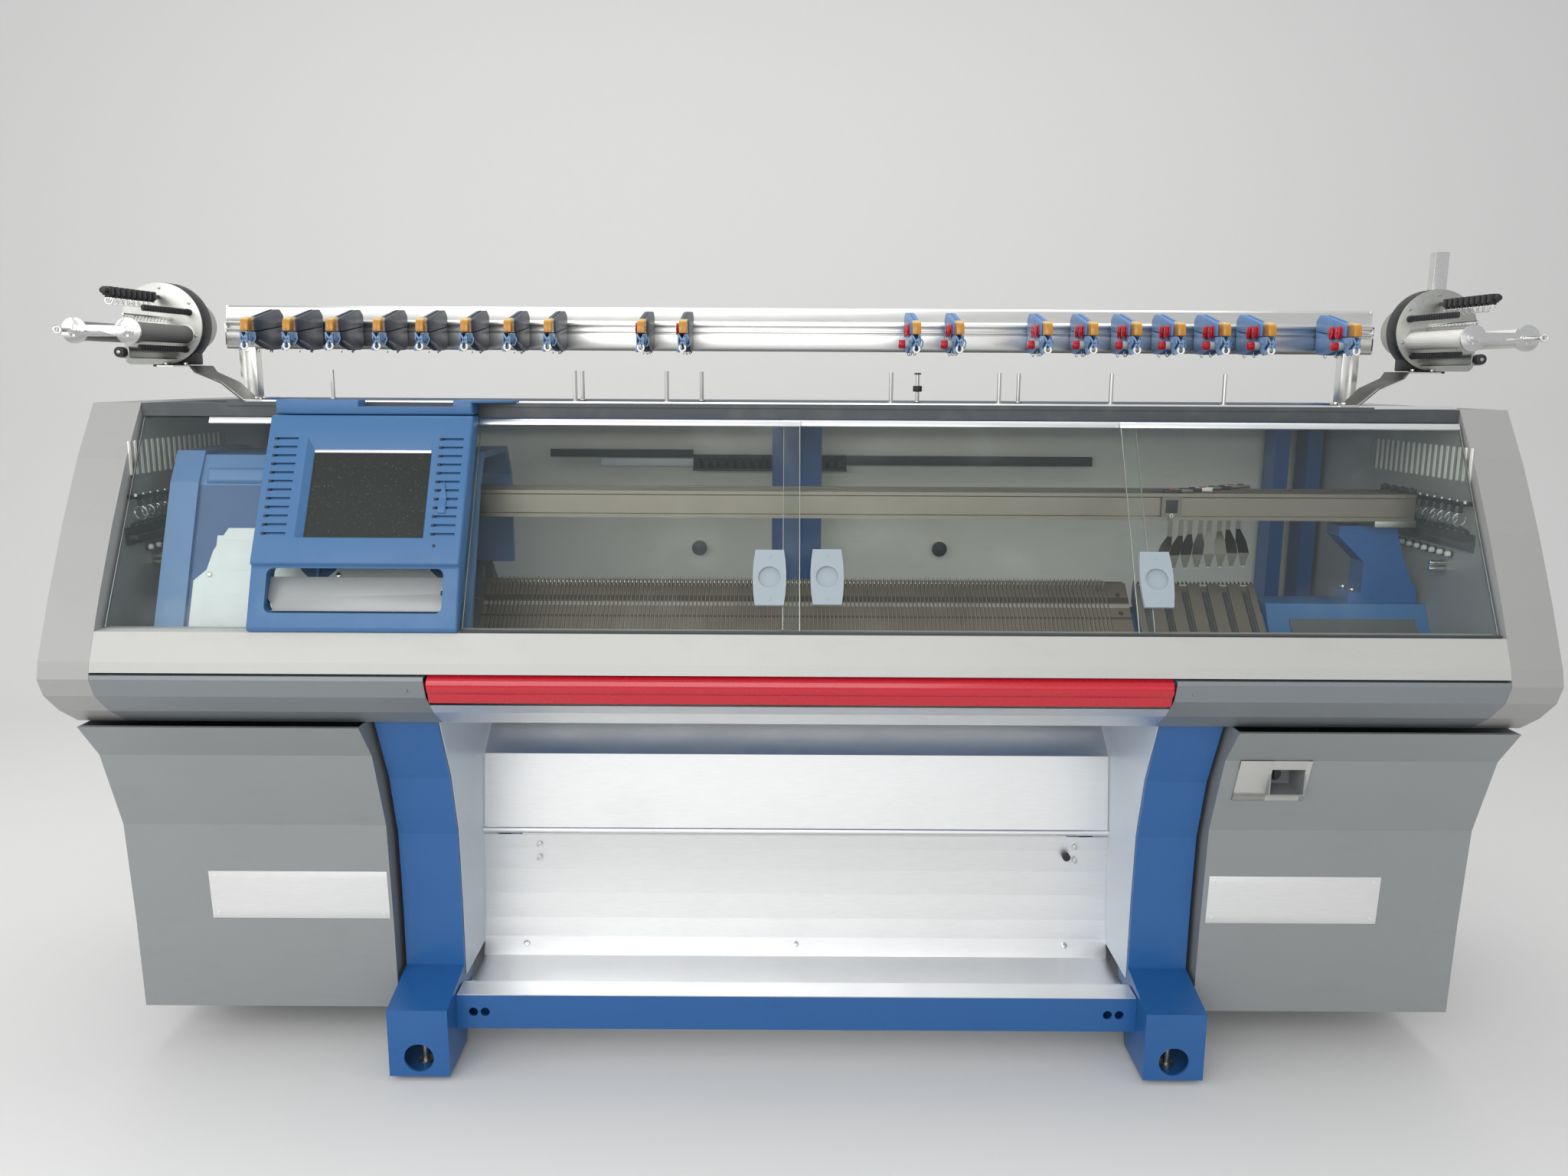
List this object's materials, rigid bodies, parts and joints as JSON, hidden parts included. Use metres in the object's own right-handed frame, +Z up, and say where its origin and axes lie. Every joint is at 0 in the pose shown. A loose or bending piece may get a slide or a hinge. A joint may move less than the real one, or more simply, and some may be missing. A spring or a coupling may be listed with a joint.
{
  "type": "flat knitting machine",
  "caption": "Computer-controlled flat knitting machine: sloping needle beds, cam carriage, yarn guides on rails, sliding windows, operator panel and yarn feeders.",
  "frame": {"origin": "on the floor, under the middle of the machine's overall box", "axes": "+X along the needle beds to the operator's right, +Y away from the operator, +Z up"},
  "size_m": [2.934, 0.904, 1.672],
  "materials": {
    "bay_liner_left": "satin light grey paint",
    "bay_liner_right": "satin light grey paint",
    "bed_frame": "textured enamel",
    "cabinet_left": "satin silver grey paint",
    "cabinet_right": "satin silver grey paint",
    "carriage_bow": "ground steel",
    "carriage_cover": "light blue",
    "document_tray": "ground steel",
    "door_handle_left": "pale blue grey",
    "door_handle_middle": "pale blue grey",
    "door_handle_right": "pale blue grey",
    "door_left": "clear",
    "door_middle": "clear",
    "door_right": "clear",
    "end_cover_left": "satin silver grey paint",
    "end_cover_right": "satin silver grey paint",
    "engaging_bar": "red gloss paint",
    "feed_roll_left_inner": "grey",
    "feed_roll_left_outer": "grey",
    "feed_roll_right_inner": "white",
    "feed_roll_right_outer": "white",
    "feeder_left": "grey paint",
    "feeder_right": "grey paint",
    "fixed_window": "clear",
    "front_cross_beam": "textured enamel",
    "front_fascia_left": "satin silver grey paint",
    "front_fascia_right": "satin silver grey paint",
    "front_needle_bed": "ground steel",
    "front_sill": "satin light grey paint",
    "leg_left": "textured enamel",
    "leg_right": "textured enamel",
    "levelling_foot_front_left": "ground steel",
    "levelling_foot_front_right": "ground steel",
    "levelling_foot_rear_left": "ground steel",
    "levelling_foot_rear_right": "ground steel",
    "lower_front_rail": "ground steel",
    "main_switch": "black",
    "operator_panel": "light blue",
    "panel_screen": "dark display glass",
    "rail_support_left": "textured enamel",
    "rail_support_right": "textured enamel",
    "rear_cover_left": "satin light grey paint",
    "rear_cover_right": "satin light grey paint",
    "rear_frame": "textured enamel",
    "rear_needle_bed": "ground steel",
    "rear_uprights": "textured enamel",
    "takedown_flap": "satin",
    "takedown_panel": "satin",
    "takedown_roller": "ribbed rubber sleeve",
    "top_deck": "dark grey paint",
    "yarn_beam": "satin",
    "yarn_guide_1": "ground steel",
    "yarn_guide_2": "ground steel",
    "yarn_guide_3": "ground steel",
    "yarn_guide_4": "ground steel",
    "yarn_guide_5": "ground steel",
    "yarn_guide_6": "ground steel",
    "yarn_guide_7": "ground steel",
    "yarn_guide_8": "ground steel",
    "yarn_guide_rails": "satin"
  },
  "bodies": {
    "machine": {"bay_liner_left": "bay_liner_left", "bay_liner_right": "bay_liner_right", "bed_frame": "bed_frame", "cabinet_left": "cabinet_left", "cabinet_right": "cabinet_right", "document_tray": "document_tray", "end_cover_left": "end_cover_left", "end_cover_right": "end_cover_right", "feeder_left": "feeder_left", "feeder_right": "feeder_right", "fixed_window": "fixed_window", "front_cross_beam": "front_cross_beam", "front_fascia_left": "front_fascia_left", "front_fascia_right": "front_fascia_right", "front_needle_bed": "front_needle_bed", "front_sill": "front_sill", "leg_left": "leg_left", "leg_right": "leg_right", "levelling_foot_front_left": "levelling_foot_front_left", "levelling_foot_front_right": "levelling_foot_front_right", "levelling_foot_rear_left": "levelling_foot_rear_left", "levelling_foot_rear_right": "levelling_foot_rear_right", "lower_front_rail": "lower_front_rail", "operator_panel": "operator_panel", "panel_screen": "panel_screen", "rail_support_left": "rail_support_left", "rail_support_right": "rail_support_right", "rear_cover_left": "rear_cover_left", "rear_cover_right": "rear_cover_right", "rear_frame": "rear_frame", "rear_uprights": "rear_uprights", "takedown_panel": "takedown_panel", "top_deck": "top_deck", "yarn_beam": "yarn_beam", "yarn_guide_rails": "yarn_guide_rails"},
    "carriage": {"carriage_bow": "carriage_bow", "carriage_cover": "carriage_cover"},
    "racking_bed": {"rear_needle_bed": "rear_needle_bed"},
    "door_left_body": {"door_left": "door_left", "door_handle_left": "door_handle_left"},
    "door_middle_body": {"door_middle": "door_middle", "door_handle_middle": "door_handle_middle"},
    "door_right_body": {"door_right": "door_right", "door_handle_right": "door_handle_right"},
    "start_bar": {"engaging_bar": "engaging_bar"},
    "flap": {"takedown_flap": "takedown_flap"},
    "fabric_roller": {"takedown_roller": "takedown_roller"},
    "switch_knob": {"main_switch": "main_switch"},
    "guide_1": {"yarn_guide_1": "yarn_guide_1"},
    "guide_2": {"yarn_guide_2": "yarn_guide_2"},
    "guide_3": {"yarn_guide_3": "yarn_guide_3"},
    "guide_4": {"yarn_guide_4": "yarn_guide_4"},
    "guide_5": {"yarn_guide_5": "yarn_guide_5"},
    "guide_6": {"yarn_guide_6": "yarn_guide_6"},
    "guide_7": {"yarn_guide_7": "yarn_guide_7"},
    "guide_8": {"yarn_guide_8": "yarn_guide_8"},
    "feed_left_inner": {"feed_roll_left_inner": "feed_roll_left_inner"},
    "feed_left_outer": {"feed_roll_left_outer": "feed_roll_left_outer"},
    "feed_right_inner": {"feed_roll_right_inner": "feed_roll_right_inner"},
    "feed_right_outer": {"feed_roll_right_outer": "feed_roll_right_outer"}
  },
  "joints": [
    {"name": "carriage_slide", "type": "slide", "parent": "machine", "child": "carriage", "axis": [1, 0, 0], "range_m": [0, 1.84]},
    {"name": "guide_1_slide", "type": "slide", "parent": "machine", "child": "guide_1", "axis": [1, 0, 0], "range_m": [-1.825, 0.335]},
    {"name": "guide_2_slide", "type": "slide", "parent": "machine", "child": "guide_2", "axis": [1, 0, 0], "range_m": [-1.851, 0.309]},
    {"name": "guide_3_slide", "type": "slide", "parent": "machine", "child": "guide_3", "axis": [1, 0, 0], "range_m": [-1.877, 0.283]},
    {"name": "guide_4_slide", "type": "slide", "parent": "machine", "child": "guide_4", "axis": [1, 0, 0], "range_m": [-1.903, 0.257]},
    {"name": "guide_5_slide", "type": "slide", "parent": "machine", "child": "guide_5", "axis": [1, 0, 0], "range_m": [-1.929, 0.231]},
    {"name": "guide_6_slide", "type": "slide", "parent": "machine", "child": "guide_6", "axis": [1, 0, 0], "range_m": [-1.955, 0.205]},
    {"name": "guide_7_slide", "type": "slide", "parent": "machine", "child": "guide_7", "axis": [1, 0, 0], "range_m": [-1.981, 0.179]},
    {"name": "guide_8_slide", "type": "slide", "parent": "machine", "child": "guide_8", "axis": [1, 0, 0], "range_m": [-2.007, 0.153]},
    {"name": "racking_slide", "type": "slide", "parent": "machine", "child": "racking_bed", "axis": [1, 0, 0], "range_m": [-0.05, 0.05]},
    {"name": "door_left_slide", "type": "slide", "parent": "machine", "child": "door_left_body", "axis": [1, 0, 0], "range_m": [-0.52, 0]},
    {"name": "door_middle_slide", "type": "slide", "parent": "machine", "child": "door_middle_body", "axis": [1, 0, 0], "range_m": [0, 0.53]},
    {"name": "door_right_slide", "type": "slide", "parent": "machine", "child": "door_right_body", "axis": [1, 0, 0], "range_m": [-0.53, 0]},
    {"name": "start_bar_turn", "type": "hinge", "parent": "machine", "child": "start_bar", "pos_m": [0, -0.432, 0.848], "axis": [1, 0, 0], "range_deg": [-12, 12], "stiffness_Nm_per_rad": 20},
    {"name": "flap_hinge", "type": "hinge", "parent": "machine", "child": "flap", "pos_m": [0, -0.028, 0.407], "axis": [1, 0, 0], "range_deg": [0, 60]},
    {"name": "fabric_roller_spin", "type": "hinge", "parent": "machine", "child": "fabric_roller", "pos_m": [0, 0.05, 0.705], "axis": [1, 0, 0], "continuous": true},
    {"name": "main_switch_turn", "type": "hinge", "parent": "machine", "child": "switch_knob", "pos_m": [0.9455, -0.2397, 0.632], "axis": [0, 1, 0], "range_deg": [0, 90]},
    {"name": "feed_left_inner_spin", "type": "hinge", "parent": "machine", "child": "feed_left_inner", "pos_m": [-1.331, 0, 1.484], "axis": [0, 1, 0], "continuous": true},
    {"name": "feed_left_outer_spin", "type": "hinge", "parent": "machine", "child": "feed_left_outer", "pos_m": [-1.437, 0, 1.484], "axis": [0, 1, 0], "continuous": true},
    {"name": "feed_right_inner_spin", "type": "hinge", "parent": "machine", "child": "feed_right_inner", "pos_m": [1.331, 0, 1.484], "axis": [0, 1, 0], "continuous": true},
    {"name": "feed_right_outer_spin", "type": "hinge", "parent": "machine", "child": "feed_right_outer", "pos_m": [1.437, 0, 1.484], "axis": [0, 1, 0], "continuous": true}
  ],
  "couplings": [
    {"joint": "feed_left_outer_spin", "follows": "feed_left_inner_spin", "ratio": 1},
    {"joint": "feed_right_outer_spin", "follows": "feed_right_inner_spin", "ratio": 1}
  ]
}
